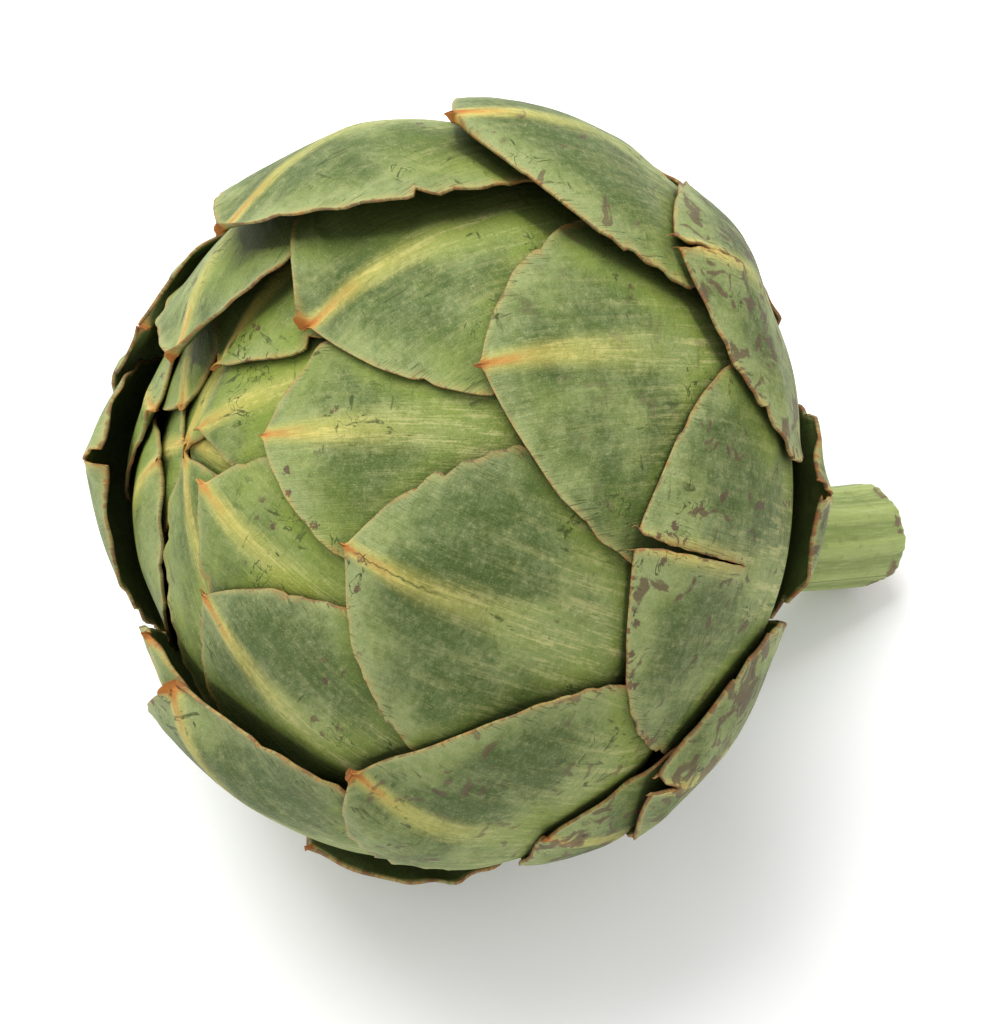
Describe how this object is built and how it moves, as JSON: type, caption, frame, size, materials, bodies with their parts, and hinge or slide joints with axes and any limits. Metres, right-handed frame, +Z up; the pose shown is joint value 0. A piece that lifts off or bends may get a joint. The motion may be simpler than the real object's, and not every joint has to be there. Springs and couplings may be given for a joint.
{
  "type": "artichoke",
  "caption": "Globe artichoke lying on its side: a round head of overlapping pointed bracts with a short, ribbed, cut stem.",
  "frame": {"origin": "middle of the small flat spot under the head on which the artichoke rests", "axes": "+Z up from the surface it rests on; the head's axis leans in the XZ plane, with the stem towards +X and down and the apex towards -X and up"},
  "size_m": [0.1159, 0.0911, 0.1004],
  "materials": {
    "bracts": "matt, waxy grey-green plant skin",
    "stem": "matt, yellow-green ribbed stem"
  },
  "bodies": {
    "root": {"head": "bracts", "stem": "stem"}
  },
  "joints": []
}
